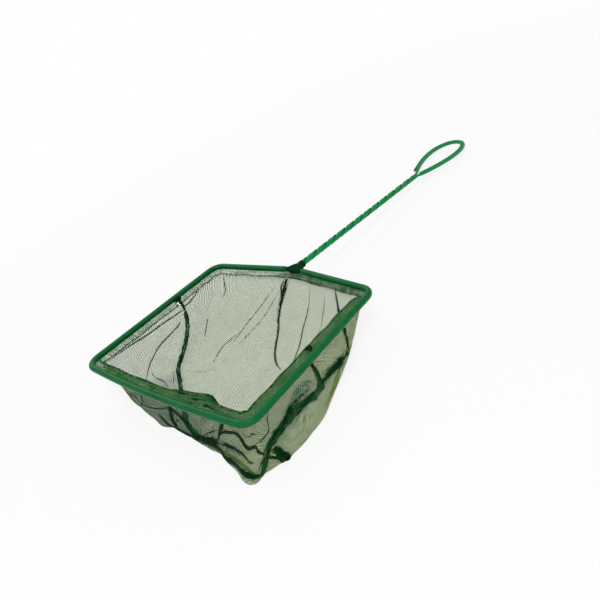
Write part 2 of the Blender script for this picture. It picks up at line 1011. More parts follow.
@dataclass(frozen=True)
class Steel:
    """Drawn steel with fine lines across its cut ends."""

    name: str = "bare_steel"
    dark: Colour = linear(120, 124, 122)
    bright: Colour = linear(178, 180, 176)
    grain: Cloud = Cloud(2600.0, 3.0, 0.6)
    metallic: float = 0.9
    roughness: float = 0.32
    grain_gloss: float = 0.3
    relief_m: float = 0.00002

    def make(self) -> Material:
        """Build the material.

        Returns:
            The material.
        """
        shade = Shade(self.name)
        fine = shade.noise(self.grain)
        shade.set(
            Base_Color=shade.blend(fine, self.dark, self.bright),
            Metallic=self.metallic,
            Roughness=self.roughness + fine.swing() * self.grain_gloss,
        )
        shade.relief(fine, self.relief_m)
        return shade.material


@dataclass(frozen=True)
class Finishes:
    """Every finish of the net, made once."""

    wire: Material
    guard: Material
    netting: Material
    hem: Material
    roll: Material
    thread: Material
    binding: Material
    steel: Material

    @staticmethod
    def make() -> Finishes:
        """Build all the materials.

        Returns:
            The finishes.
        """
        hem = Netting(
            "hem_netting", linear(84, 130, 80), linear(22, 80, 42),
            pitch_m=0.00092, level=-0.45, closing=1.9, deepening=1.5,
        )
        roll = Netting(
            "rolled_netting", linear(58, 108, 66), linear(8, 50, 24),
            pitch_m=0.0009, level=0.3, edge=0.5, closing=1.5, deepening=1.0,
        )
        return Finishes(
            wire=Plastic("handle_plastic", linear(10, 148, 80), linear(6, 122, 64)).make(),
            guard=Plastic("rim_plastic", linear(8, 108, 54), linear(5, 86, 42)).make(),
            netting=Netting("bag_netting", linear(112, 136, 64), linear(20, 70, 34)).make(),
            hem=hem.make(),
            roll=roll.make(),
            thread=Yarn("dark_thread", linear(10, 72, 36), linear(2, 36, 14)).make(),
            binding=Yarn("binding_thread", linear(8, 66, 32), linear(2, 32, 12), 0.0013).make(),
            steel=Steel().make(),
        )


def dressed(piece: Piece, material: Material) -> Piece:
    """Give a piece its finish, its slot in the record and its body.

    Args:
        piece: The piece.
        material: Its finish.

    Returns:
        The piece.
    """
    piece.data.materials.clear()
    piece.data.materials.append(material)
    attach(piece, BODY)
    LOG.info("%s: %d vertices", piece.name, len(piece.data.vertices))
    return piece


@dataclass
class Wire:
    """The one coated wire that makes the rim, the twisted handle and the hanging loop.

    Places on the loop are shares of it, 0 at the left of its neck and 1 at its right. The wire
    starts at the stub, flared out from the loop, and its last stretch ends at the tail.
    """

    pose: Pose
    rim: RimShape
    handle: Handle
    coat_r: float = 1.07
    turns: int = 7
    loop: float = 90.0
    loop_width: float = 28.5
    loop_lean: float = 3.5
    flare: float = 0.75
    flare_over: float = 0.0466
    stub: float = 0.115
    tail: float = 0.93
    fade: float = 0.07
    join: float = 0.1
    flatten: float = 0.8
    flatten_from: float = 4.0
    flatten_over: float = 9.0
    taller: float = 0.3
    loop_swell: float = 0.09
    swell_over: float = 12.0
    bare_end: float = 1.6
    outside_points: int = 520
    inside_points: int = 500
    turn_points: int = 80
    spacing: float = 0.8
    rounding: float = 1.7
    sides: int = 20

    def loop_mid(self, share: Points) -> Points:
        """The loop's centre line, a teardrop that leans: with q = sin^2(180 t) it is at
        x = -cos(180 t)(r + a q) - lean q and y = handle + loop q. It is widest where q is 2/3,
        and a gives it its width there.

        Args:
            share: t, 0 at the left of the neck and 1 at its right.

        Returns:
            x, y, z of each point in the plane of the handle.
        """
        r = self.rim.strand_r
        swell = (self.loop_width / 2 - r * math.sqrt(1 / 3)) / (2 / 3 * math.sqrt(1 / 3))
        q = np.sin(math.pi * share) ** 2
        x = -np.cos(math.pi * share) * (r + swell * q) - self.loop_lean * q
        return np.stack([x, self.handle.length + self.loop * q, 0 * q], axis=1)

    def loop_side(self, share: Points) -> Points:
        """The direction from the loop's centre line to its outside.

        Args:
            share: 0 at the left of the neck, 1 at its right.

        Returns:
            One direction for each share, in the plane of the handle.
        """
        step = 0.001
        along = unit(self.loop_mid(np.minimum(share + step, 1)) - self.loop_mid(share - step))
        return np.stack([-along[:, 1], along[:, 0], 0 * share], axis=1)

    def path(self) -> Points:
        """The wire's whole centre line, from the cut end beside the neck, round the outside of the
        loop, down the handle, round the rim, back up and round the inside of the loop.

        Returns:
            Evenly spaced points in the rim's frame.
        """
        r, hung = self.rim.strand_r, self.handle.hung
        share = np.linspace(self.stub, 1, self.outside_points)
        off = r * clamp((self.tail + self.fade - share) / self.fade)
        off += self.flare * clamp(1 - (share - self.stub) / self.flare_over)
        back = self.loop_mid(share) + off[:, None] * self.loop_side(share)
        share = np.linspace(0, self.tail, self.inside_points)[1:]
        off = r * clamp(share / self.join)
        out = self.loop_mid(share) - off[:, None] * self.loop_side(share)
        foot = self.rim.right_half(True)
        start = foot[-1, 1] - self.rim.apex[1]
        spot = np.linspace(0, 1, self.turn_points * self.turns)
        turn = TURN * self.turns * spot
        rise = start + (self.handle.length - start) * spot
        right = np.stack([r * np.cos(turn), rise, r * np.sin(turn)], axis=1)
        left = right * np.array([-1.0, 1.0, -1.0])
        twist = [hung(right[:0:-1]), both_sides(foot)[::-1], hung(left[1:])]
        whole = np.concatenate([hung(back), *twist, hung(out)])
        return softened(evenly(whole, self.spacing), self.rounding)

    def flattening(self, path: Points) -> Points:
        """How the strands press flat against each other in the twist, where plastic fills the
        groove between them: the vector along which each ring of the coating is widened.

        It is square to the wire and to the direction away from the handle's axis, and its square
        is how much wider the ring is. It grows over the first and last few millimetres of the
        twist. In the loop the strands are a little taller than they are wide.

        Args:
            path: Points of the wire's centre line in the rim's frame.

        Returns:
            One vector for each point.
        """
        spots = [[0.0, self.flatten_from, 0.0], [0.0, self.handle.length - 1, 0.0]]
        ends = self.handle.hung(np.array(spots))
        axis = unit(ends[1] - ends[0])
        length = float(np.linalg.norm(ends[1] - ends[0]))
        run = (path - ends[0]) @ axis
        away = path - ends[0] - run[:, None] * axis
        square = unit(np.cross(unit(np.gradient(path, axis=0)), away))
        over = self.flatten_over
        amount = self.flatten * ease(run / over) * ease((length - run) / over)
        tall = self.taller * ease((run - length) / over)
        return np.sqrt(amount)[:, None] * square + np.sqrt(tall)[:, None] * UP

    def build(self, finish: Finishes) -> None:
        """Build the coating, a little thicker in the loop, and dress the steel in it. Beside the
        neck the steel's cut end sticks out of the coating.

        Args:
            finish: The finishes.
        """
        path = self.path()
        first = int(np.searchsorted(lengths_along(path), self.bare_end))
        wide = self.flattening(path)[first:]
        path = path[first:]
        out = path[:, 1] - self.rim.apex[1] - self.handle.length
        radius = self.coat_r / 1000 * (1 + self.loop_swell * ease(out / self.swell_over))
        grid = tube(self.pose.laid(path), UP, radius, self.sides, wide=wide)
        grid[..., 2] = np.maximum(grid[..., 2], 0.0)
        coat = Skin("green_wire_coating", grid, ring=True, capped=True).build()
        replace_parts(dressed(coat, finish.wire), "wire_coating")


@dataclass
class Guard:
    """The split tube that is pushed over the rim, its slit facing inwards with rounded lips."""

    pose: Pose
    rim: RimShape
    outer: float = 2.2
    wall: float = 0.45
    slit_deg: float = 7.8
    lip_share: float = 1.15
    lip_round: float = 0.06
    facets: int = 30
    spacing: float = 1.1
    rounding: float = 1.2
    wobble: Ripple = Ripple(11, 6, 90.0, 0.008)

    def build(self, finish: Finishes) -> None:
        """Sweep the open ring round the rim: at each point it lies in the plane of the outward
        direction and the vertical, from one lip of the slit over the top to the other and back
        along the inside.

        Args:
            finish: The finishes.
        """
        path = evenly(both_sides(self.rim.right_half(False)), self.spacing)
        path = softened(path, self.rounding)
        along = unit(np.gradient(path, axis=0))
        outward = np.stack([along[:, 1], -along[:, 0], 0 * along[:, 0]], axis=1)
        slit = math.radians(self.slit_deg)
        angle = np.linspace(math.pi - slit, slit - math.pi, self.facets + 1)
        lip = math.pi - slit * self.lip_share - self.lip_round
        inner, middle = self.outer - self.wall, self.outer - self.wall / 2
        radii = np.concatenate([0 * angle + self.outer, [middle], 0 * angle + inner, [middle]])
        spread = np.concatenate([angle, [-lip], angle[::-1], [lip]])
        radii = radii * (1 + self.wobble.at(path[:, 0], path[:, 1])[:, None])
        grid = path[:, None] + (radii * np.cos(spread))[..., None] * outward[:, None]
        grid = grid + (radii * np.sin(spread))[..., None] * UP
        skin = Skin("split_rim_tube", self.pose.laid(grid), ring=True, capped=True)
        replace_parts(dressed(skin.build(), finish.guard), "rim_guard")


@dataclass(frozen=True)
class HemSide:
    """What each hem has of its own.

    Turn is the column where its lean starts to change, and over how many columns. Scallop is how
    fast its edge waves. Bunch and closed give, at a few columns, how much wider it is there and
    how much closer its netting lies. Line is how dark its edge is, and fine its points a column.
    """

    turn: Pair
    scallop: float
    bunch: Table
    closed: Table
    line: float
    fine: int


HEM_SIDES = {
    Panel.FRONT: HemSide(
        turn=(7.5, 5.5),
        scallop=1.7,
        bunch=((22.3, 0), (23.2, 1.2), (24.6, 2.9), (25.8, 4.1), (26.3, 3.8), (27.1, 0)),
        closed=((0, -0.38), (8, -0.36), (12, -0.15), (15, 0), (28, 0), (31, -0.08), (42, -0.1)),
        line=0.9,
        fine=10,
    ),
    Panel.BACK: HemSide(
        turn=(30.5, 5.0),
        scallop=1.9,
        bunch=((0, 0),),
        closed=((0, -0.36), (9, -0.38), (13, -0.44), (19, -0.38), (21, 0.1), (24, 0.05),
                (42, -0.1)),
        line=0.82,
        fine=11,
    ),
}


@dataclass
class HemShape:
    """How wide the hem is and how it leans at each column of the front and of the back.

    It hangs down at the left and at the back, and swings up at the front and at the right. It
    starts at its reach from the wire's centre line.
    """

    rim: RimShape
    width: float = 6.8
    reach: float = 0.5
    hang_deg: float = -42.0
    swing_deg: float = 74.0
    scallop: float = 0.25

    def lean(self, panel: Panel, column: Points) -> Points:
        """The hem's lean out of the plane of the rim, in degrees upwards."""
        start, length = HEM_SIDES[panel].turn
        return self.hang_deg + self.swing_deg * ease((column - start) / length)

    def spread(self, panel: Panel, column: Points) -> Points:
        """The hem's width, scalloped, and wider where it is bunched."""
        wave = self.scallop * np.sin(column * HEM_SIDES[panel].scallop)
        return self.width + wave + level_at(HEM_SIDES[panel].bunch, column)

    def closed(self, panel: Panel, column: Points) -> Points:
        """How much closer than usual the netting lies in the hem, below 0 where it is open."""
        return level_at(HEM_SIDES[panel].closed, column)

    def edge(self, panel: Panel, column: Points, share: Points, off: Points) -> Points:
        """Points across the hem.

        Args:
            panel: The front or the back.
            column: Columns from the left tie to the right tie.
            share: 0 at the wire, 1 at the hem's inner edge.
            off: Distance above the hem's middle plane.

        Returns:
            Points in the rim's frame.
        """
        lean = np.radians(self.lean(panel, column))
        run = (self.spread(panel, column) - self.reach) * share
        inset = self.reach + run * np.cos(lean) - off * np.sin(lean)
        return self.rim.outline(panel, column, inset, run * np.sin(lean) + off * np.cos(lean))


@dataclass
class Hems:
    """The two folded hems and the thread that closes them.

    A hem is two layers half a gap from its middle plane, puffed apart towards the inner edge, with
    a wave and a faster flutter. Its netting is painted closer or looser in streaks and rucks. In
    the front bunch dark wrinkles run along it, each with its share of the width and its phase.
    """

    pose: Pose
    shape: HemShape
    rows: int = 23
    crowding: float = 1.25
    half_gap: float = 0.32
    puff: float = 0.4
    wave: Ripple = Ripple(5, 9, 16.0, 0.2, (3.3, 9.0))
    flutter: float = 0.1
    flutter_rate: float = 5.3
    base: float = 0.14
    streaks: float = 2.6
    streak_height: float = 0.1
    streak_wander: Ripple = Ripple(17, 6, 9.0, 0.3, (1.1, 1.0))
    ruck: Ripple = Ripple(8, 8, 9.0, 1.0, (3.3, 4.0))
    ruck_closed: float = 0.16
    ruck_open: float = 0.22
    edge_line: float = 1.8
    bunch: Window = (22.2, 1.0, 26.6, 1.0)
    bunch_closing: float = 0.12
    wrinkles: Table = ((0.3, 0.0), (0.5, 1.7), (0.68, 3.1), (0.84, 4.4))
    wrinkle_wander: float = 0.06
    wrinkle_rate: float = 1.3
    wrinkle_line: float = 0.9
    wrinkle_dark: float = 0.97
    tuck: Pair = (26.4, 0.5)
    tuck_closing: float = 0.4
    stitch_points: int = 1500
    stitch_rate: float = 2.5
    stitch_height: float = 0.75
    stitch_inset: float = 1.0
    stitch_end: float = 0.15
    stitch_smoothing: float = 20.0
    thread_r_m: float = 0.00019
    thread_tip_m: float = 0.0004
    thread_sides: int = 6

    def painted(self, panel: Panel, column: Points, share: Points) -> tuple[Points, Points]:
        """Paint a hem: how closely its netting lies, and its dark lines.

        A line is a tent over the distance from its middle, 1 at the middle and 0 at its own width.

        Args:
            panel: The front or the back.
            column: Columns, in a row.
            share: Shares of the hem's width, in a column.

        Returns:
            The gather and the creases at every point.
        """
        width, closed = self.shape.spread(panel, column), self.shape.closed(panel, column)
        streak = np.sin(TURN * (share * self.streaks + self.streak_wander.at(column, 0.0)))
        rucked = self.base + closed + self.streak_height * streak
        rough = self.ruck_closed + self.ruck_open * np.minimum(closed, 0)
        rucked = rucked + rough * self.ruck.at(column, share)
        line = clamp(1 - np.abs(share - 1.0) * width / self.edge_line) * HEM_SIDES[panel].line
        if panel is Panel.FRONT:
            bunch = window(column, *self.bunch)
            for place, start in self.wrinkles:
                middle = place + self.wrinkle_wander * np.sin(column * self.wrinkle_rate + start)
                near = clamp(1 - np.abs(share - middle) * width / self.wrinkle_line)
                line = np.maximum(line, near * bunch * self.wrinkle_dark)
            tuck = self.tuck_closing * share * bump(column, *self.tuck)
            rucked = rucked + self.bunch_closing * bunch + tuck
        return clamp(rucked, LOOSEST), line

    def band(self, panel: Panel, finish: Finishes) -> Piece:
        """Build one hem, a strip folded over along its inner edge.

        Across the strip, t runs from 0 to 1 and the share of the hem's width is 1 - |2t - 1|^p,
        on its lower layer first and then on its upper one.

        Args:
            panel: The front or the back.
            finish: The finishes.

        Returns:
            The hem.
        """
        column = np.linspace(0, COLUMNS, COLUMNS * HEM_SIDES[panel].fine + 1)[None, :]
        turn = np.linspace(0, 1, self.rows)[:, None]
        share = 1 - np.abs(2 * turn - 1) ** self.crowding
        wave = self.wave.at(column, share) + self.flutter * np.sin(column * self.flutter_rate)
        layer = -self.half_gap * np.cos(math.pi * turn) * (1 + self.puff * share)
        grid = self.shape.edge(panel, column + 0 * turn, share, layer + wave * share)
        skin = Skin(f"{panel.value}_hem_band", self.pose.laid(grid), turned=True)
        skin.paint["gather"], skin.paint["crease"] = self.painted(panel, column, share)
        piece = dressed(skin.build(), finish.hem)
        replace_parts(piece, f"{panel.value}_hem")
        width = float(np.linalg.norm(np.diff(skin.grid, axis=0), axis=2).sum(axis=0).mean())
        length = float(np.linalg.norm(np.diff(skin.grid[0], axis=0), axis=1).sum())
        return piece

    def stitches(self, panel: Panel, finish: Finishes) -> Piece:
        """Sew a running stitch near the hem's inner edge: a thread that goes up and down through
        the cloth as a sine wave, five waves to four columns.

        Args:
            panel: The front or the back.
            finish: The finishes.

        Returns:
            The thread.
        """
        column = np.linspace(self.stitch_end, COLUMNS - self.stitch_end, self.stitch_points)
        off = self.stitch_height * np.sin(column * math.pi * self.stitch_rate)
        share = 1 - self.stitch_inset / self.shape.spread(panel, column)
        path = self.shape.edge(panel, column, share, off)
        side = unit(np.gradient(softened(path, self.stitch_smoothing), axis=0))
        thread = run_of_thread(
            f"{panel.value}_hem_stitches", self.pose.laid(path), np.cross(side, UP),
            self.thread_r_m, self.thread_tip_m, self.thread_sides,
        )
        return dressed(thread, finish.thread)

    def build(self, finish: Finishes) -> None:
        """Build both hems and their stitches.

        Args:
            finish: The finishes.
        """
        for panel in Panel:
            self.band(panel, finish)
            thread = self.stitches(panel, finish)
            if panel is Panel.FRONT:
                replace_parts(thread, "hem_thread")


SEAM = np.array([
    (-66, 80, -9), (-60, 74, -14), (-54, 66, -18.5), (-47, 54, -22.5), (-41, 41, -26.5),
    (-29, 31, -27.8), (-10, 16, -28.6), (8, 4, -29), (30, -1, -29), (54, -3, -29),
    (77.3, -7, -28.5), (73.2, 9, -23.1), (75.4, 33, -18), (78.4, 52.5, -17.1), (68, 61, -7),
], float)
FRONT_TURN = np.array([
    (-67, 79.6, -4.8), (-65.4, 61, -9.4), (-64.5, 44.3, -15), (-63.5, 24, -20.5),
    (-61, 12.8, -25.5), (-46.5, 7, -26), (-28.5, -0.5, -27), (-4.3, -1.5, -28), (23, -1.5, -27),
    (45, -4, -26.5), (74.3, -10.5, -26), (74.3, 3, -16), (72.8, 30, -10.5), (75, 48, -9),
    (68.2, 60.6, -3.6),
], float)
BACK_TURN = np.array([
    (-67, 80.4, -4.8), (-63, 86, -12), (-60, 88, -17), (-57.9, 88, -22), (-51.5, 84, -26),
    (-37, 84, -28), (-15, 80, -29), (7, 78, -29), (32, 74, -29), (57, 69, -29),
    (82, 50, -28), (86, 32, -27.6), (83, 60, -22), (80, 70, -15.5), (68.2, 61.6, -3.6),
], float)
ROLL_R = (1.3, 1.6, 1.6, 1.5, 1.4, 1.4, 1.5, 1.6, 1.3, 0.9, 1.0, 2.0, 2.4, 1.9, 1.2)


@dataclass(frozen=True)
class BagSide:
    """What each panel has of its own: the line halfway down it where it turns, its rows of points,
    the size of its ripples, the sign that turns its normals outwards, and the length of its cut."""

    turn: Points
    rows: int
    ripples: float
    outward: float
    length_m: float


BAG_SIDES = {
    Panel.FRONT: BagSide(FRONT_TURN, 110, 0.9, -1.0, 0.292),
    Panel.BACK: BagSide(BACK_TURN, 180, 0.6, 1.0, 0.262),
}


def along_bag(table: Points, column: Points) -> Points:
    """Read a table whose rows are spread evenly over the columns, on a smooth curve."""
    return curve_through(table, column / COLUMNS * (len(table) - 1))


@dataclass(frozen=True)
class Fold:
    """A crease where the netting is pinched together.

    Its line is given on its panel: the column, 0 to 42, and the share of the way from the hem, 0,
    to the seam, 1. Width and height are in millimetres. Dark is how strong its sharp line is, and
    soft how much closer the netting lies beside it.
    """

    panel: Panel
    line: Table
    width: float = 1.0
    height: float = 0.8
    dark: float = 0.8
    soft: float = 0.3


B, F = Panel.BACK, Panel.FRONT
FOLDS: tuple[Fold, ...] = (
    Fold(B, ((20.4, 0.0), (20.3, 0.08), (20.3, 0.15), (20.7, 0.27), (21.5, 0.38), (22.4, 0.48),
             (23.4, 0.54), (24.3, 0.56)), 0.9, 1.2, 1.0, 0.5),
    Fold(B, ((20.2, 0.0), (20.0, 0.05), (20.1, 0.1), (20.3, 0.17)), 0.7, 0.6, 0.6, 0.6),
    Fold(B, ((20.8, 0.0), (20.6, 0.05), (20.55, 0.1), (20.5, 0.18), (20.8, 0.26)),
         0.6, 0.6, 0.6, 0.6),
    Fold(B, ((20.55, -0.04), (20.3, 0.08), (20.5, 0.24)), 1.5, 0.8, 0.6, 1.0),
    Fold(B, ((23.3, 0.02), (23.6, 0.18), (23.9, 0.32), (24.5, 0.45), (24.7, 0.5)), 0.6, 0.8, 0.8),
    Fold(B, ((25.1, 0.04), (25.6, 0.29)), 0.5, 0.6, 0.6),
    Fold(B, ((26.1, -0.02), (26.6, 0.06), (27.3, 0.15), (27.9, 0.18), (28.5, 0.21), (29.3, 0.25)),
         1.0, 0.9, 0.9, 0.5),
    Fold(B, ((29.2, 0.22), (29.0, 0.29), (28.3, 0.39), (28.2, 0.47), (28.4, 0.52)),
         2.6, 0.8, 0.5, 0.9),
    Fold(B, ((31.5, 0.18), (34.4, 0.24), (38.4, 0.38), (39.4, 0.55), (39.7, 0.75), (39.4, 0.99)),
         2.2, 1.0, 0.5, 0.8),
    Fold(B, ((36.8, 0.08), (36.3, 0.09), (34.8, 0.12), (33.5, 0.13), (32.3, 0.16), (31.7, 0.18)),
         1.2, 0.8, 0.8, 0.7),
    Fold(B, ((19.4, 0.06), (18.0, 0.23), (17.1, 0.41), (17.3, 0.57)), 0.55, 0.8, 0.75),
    Fold(B, ((19.9, 0.08), (18.9, 0.29), (18.2, 0.41), (18.0, 0.54)), 0.5, 0.7, 0.7),
    Fold(B, ((16.8, 0.45), (16.6, 0.52), (16.4, 0.61), (16.8, 0.74)), 0.6, 0.8, 0.8),
    Fold(B, ((13.7, 0.94), (15.4, 0.88), (16.8, 0.81), (17.8, 0.74)), 0.5, 0.8, 0.5),
    Fold(B, ((13.1, 0.0), (13.3, 0.09), (13.4, 0.13), (13.3, 0.18)), 0.6, 0.5, 0.7),
    Fold(B, ((0.3, 0.74), (0.8, 0.48), (1.5, 0.27), (2.3, 0.15), (3.1, 0.07), (4.6, -0.02)),
         0.6, 0.8, 0.9),
    Fold(B, ((9.7, 0.46), (11.8, 0.6)), 0.6, 0.6, 0.4),
    Fold(B, ((32.0, 1.0), (32.2, 0.95), (32.4, 0.87), (31.1, 0.83)), 1.1, 0.8, 0.9, 0.5),
    Fold(B, ((33.2, 0.96), (33.1, 0.89), (32.7, 0.81), (31.4, 0.81), (30.8, 0.84)),
         2.8, 1.2, 1.0, 1.0),
    Fold(B, ((33.0, 0.78), (32.0, 0.8), (30.9, 0.84)), 3.4, 0.8, 1.0, 1.0),
    Fold(B, ((28.0, 0.56), (27.9, 0.66), (28.2, 0.75), (28.6, 0.85)), 2.6, 0.8, 0.0, 0.6),
    Fold(F, ((2.6, 0.84), (3.4, 0.81), (4.6, 0.71), (6.1, 0.6), (8.1, 0.63), (11.6, 0.69)),
         0.6, 0.9, 0.8),
    Fold(F, ((10.1, 0.71), (12.7, 0.85), (14.9, 0.89)), 0.55, 0.8, 0.75),
    Fold(F, ((11.6, 0.94), (12.9, 0.96), (15.2, 0.93)), 0.5, 0.6, 0.6),
    Fold(F, ((7.6, 0.02), (5.3, 0.08), (2.5, 0.31), (0.4, 0.88)), 0.65, 0.8, 0.9),
    Fold(F, ((22.0, 0.12), (21.9, 0.22), (21.8, 0.35), (21.9, 0.5), (22.3, 0.57), (23.0, 0.54),
             (24.2, 0.49)), 1.9, 1.2, 1.0, 0.7),
    Fold(F, ((20.6, 0.3), (21.0, 0.4), (21.1, 0.46), (21.5, 0.52), (21.8, 0.6)),
         1.1, 0.8, 1.0, 0.5),
    Fold(F, ((18.4, 0.27), (19.6, 0.26), (20.5, 0.23), (21.6, 0.2), (22.3, 0.22)), 0.6, 0.6, 0.85),
    Fold(F, ((18.9, 0.14), (18.7, 0.26), (18.3, 0.38)), 0.6, 0.6, 0.8),
    Fold(F, ((21.2, 0.35), (22.0, 0.34), (22.8, 0.3)), 0.5, 0.6, 0.6),
    Fold(F, ((21.8, 0.16), (22.8, 0.26), (23.3, 0.35), (23.6, 0.43), (24.4, 0.49)),
         2.0, 1.0, 0.8, 0.9),
    Fold(F, ((23.4, 0.2), (23.5, 0.34)), 0.7, 0.5, 0.5),
    Fold(F, ((22.4, 0.64), (24.2, 0.49), (25.3, 0.46), (26.2, 0.45), (26.9, 0.48), (27.6, 0.5),
             (29.0, 0.43), (30.3, 0.5), (31.4, 0.74)), 2.2, 1.0, 0.9, 0.9),
    Fold(F, ((23.4, 0.5), (25.2, 0.45), (27.2, 0.36)), 2.8, 0.8, 0.9, 1.0),
    Fold(F, ((27.7, 0.08), (27.5, 0.14), (27.3, 0.21), (27.0, 0.33)), 1.6, 1.0, 1.0, 0.7),
    Fold(F, ((25.3, 0.37), (26.2, 0.3), (26.9, 0.24)), 0.6, 0.5, 0.8),
    Fold(F, ((26.9, 0.31), (27.6, 0.2), (28.1, 0.17), (28.6, 0.15), (29.6, 0.17), (30.8, 0.24),
             (32.0, 0.32), (32.3, 0.44), (32.7, 0.7)), 1.1, 1.1, 1.0, 0.5),
    Fold(F, ((26.8, 0.38), (27.9, 0.3), (28.5, 0.28), (29.3, 0.26), (30.1, 0.29), (31.2, 0.42)),
         0.9, 0.8, 0.9, 0.5),
    Fold(F, ((27.2, 0.35), (28.0, 0.3), (29.4, 0.27)), 2.2, 0.5, 0.0, 0.7),
    Fold(F, ((34.9, 0.18), (34.7, 0.24), (34.3, 0.35), (34.0, 0.5), (33.4, 0.46), (32.4, 0.34)),
         0.65, 0.8, 0.85),
    Fold(F, ((34.6, 0.84), (34.3, 0.7), (33.9, 0.57)), 0.5, 0.5, 0.7),
    Fold(F, ((29.6, 0.12), (31.5, 0.18), (32.3, 0.21), (33.2, 0.33)), 0.5, 0.5, 0.6),
    Fold(F, ((38.9, 0.64), (37.1, 0.67), (36.3, 0.67), (35.6, 0.72), (35.0, 0.82), (34.2, 0.84),
             (33.5, 0.74), (32.9, 0.66)), 2.4, 1.0, 0.35, 0.75),
    Fold(F, ((39.3, 0.57), (37.9, 0.5), (37.0, 0.52), (36.4, 0.58)), 2.2, 1.0, 0.0, 0.8),
    Fold(F, ((31.3, 0.6), (32.2, 0.76), (32.1, 0.98)), 0.7, 0.6, 0.9),
)


@dataclass
class Bag:
    """The two panels of netting, with their folds, and the rolled seam that joins them.

    Heights over the floor are in millimetres: the panels rest a little above it, and press softly
    onto it over their cushion. The lap is the strip of a panel that lies under its hem, in shares
    of the hem's width. A closing is how much closer the netting lies, the hem's and the seam's
    with how fast it dies away.
    """

    pose: Pose
    hem: HemShape
    folds: tuple[Fold, ...] = FOLDS
    per_column: int = 11
    seam_lift: float = 1.1
    top_drop: float = 0.3
    rest: float = 0.3
    cushion: float = 1.2
    fold_parts: int = 8
    fold_taper: float = 0.45
    ripples: Ripple = Ripple(21, 9, 60.0, 1.0, (1000.0, 1000.0))
    pleats: tuple[tuple[int, float, float], ...] = ((9, 0.0, 0.6), (23, 1.0, 0.3))
    pleat_growth: float = 1.4
    held: Pair = (0.6, 0.4)
    lap_rows: int = 8
    lap_from: float = 0.28
    lap_to: float = 0.999
    lap_drop: float = 0.75
    lap_closing: float = 0.1
    base: Table = ((0, 0), (11, 0), (14, 0.3), (24, 0.3), (28, 0.1), (42, 0.08))
    low_closing: float = 0.3
    low_columns: Pair = (19.0, 4.0)
    low_rate: float = 9.0
    low_back: float = 0.5
    hem_closing: Pair = (0.3, 60.0)
    seam_closing: Pair = (0.55, 45.0)
    least_edge: float = 0.02
    least_fold: float = 0.05
    fold_share: float = 0.4
    slack: float = 0.22
    slack_columns: Window = (25.0, 2.5, 31.5, 2.0)
    slack_shares: Window = (0.25, 0.15, 0.92, 0.06)
    roll_points: int = 700
    roll_sides: int = 16
    roll_squash: float = 0.85
    roll_sunk: float = 0.8
    roll_lumps: Ripple = Ripple(31, 9, 14.0, 0.12, (1000.0, 1000.0))
    roll_tip_m: float = 0.002
    roll_ridges: tuple[tuple[int, float, float], ...] = ((3, 0.9, 0.1), (5, -1.7, 0.08))
    roll_gather: float = 0.75
    roll_band: float = 0.25
    roll_band_rate: float = 0.35

    def seam_at(self, column: Points) -> Points:
        """The seam's centre line, held clear of the floor.

        Args:
            column: Columns from the left tie to the right tie.

        Returns:
            Points in the rim's frame.
        """
        laid = self.pose.laid(along_bag(SEAM, column))
        laid[..., 2] = np.maximum(laid[..., 2], self.seam_lift / 1000)
        return self.pose.raised(laid)

    def plain(self, panel: Panel, column: Points, share: Points) -> Points:
        """A panel without its folds: at each column the curve through the hem's edge T, the turn M
        halfway and the seam E, (1 - v)(1 - 2v) T + 4v(1 - v) M - v(1 - 2v) E, kept off the floor:
        a height h below the cushion c becomes c exp(h / c - 1).

        Args:
            panel: The front or the back.
            column: Columns from the left tie to the right tie.
            share: v, 0 at the hem and 1 at the seam.

        Returns:
            Points in metres in the row's frame.
        """
        top = self.hem.edge(panel, column, 1.0, -self.top_drop)
        turn = along_bag(BAG_SIDES[panel].turn, column)
        end = self.seam_at(column)
        v = share[..., None]
        points = (1 - v) * (1 - 2 * v) * top + 4 * v * (1 - v) * turn - v * (1 - 2 * v) * end
        laid = self.pose.laid(points)
        low, soft = self.rest / 1000, self.cushion / 1000
        above = laid[..., 2] - low
        laid[..., 2] = low + np.where(above > soft, above, soft * np.exp(above / soft - 1))
        return laid

    def crease(self, fold: Fold, grid: Points) -> tuple[Points, Points, Points]:
        """How much of a fold each point of a panel has.

        The distance d to the fold's line is the least of the distances to its short straight
        parts. Across the fold its height is a bell of its width w, and along it it grows and dies
        away at its ends. Its dark line is painted as a tent, 1 - d / 3w, of which the finish shows
        the top, so the line stays sharp between the points of the grid.

        Args:
            fold: The fold.
            grid: The plain panel, in metres.

        Returns:
            The fold's height in millimetres, its gather and its line, at every point.
        """
        line = np.array(fold.line, float)
        parts = self.fold_parts * (len(line) - 1)
        fine = curve_through(line, np.linspace(0, len(line) - 1, parts + 1))
        path = self.plain(fold.panel, fine[:, 0], fine[:, 1]) * 1000
        points = grid.reshape(-1, 3) * 1000
        reach = 4 * fold.width + 2
        low, high = path.min(axis=0) - reach, path.max(axis=0) + reach
        near = np.flatnonzero(np.all((points > low) & (points < high), axis=1))
        best, along = np.full(len(near), 1e9), np.zeros(len(near))
        for k in range(parts):
            step = path[k + 1] - path[k]
            share = clamp((points[near] - path[k]) @ step / max(step @ step, 1e-9))
            away = np.linalg.norm(points[near] - path[k] - share[:, None] * step, axis=1)
            closer = away < best
            best = np.where(closer, away, best)
            along = np.where(closer, (k + share) / parts, along)
        ends = np.sin(math.pi * clamp(along)) ** self.fold_taper
        bell = bump(best, 0.0, fold.width) * ends
        tent = clamp(1 - best / (3 * fold.width)) * (2 + fold.dark * ends) / 3
        out = np.zeros((3, len(points)))
        out[:, near] = fold.height * bell, fold.soft * bell, tent * (fold.dark > 0)
        return tuple(one.reshape(grid.shape[:2]) for one in out)

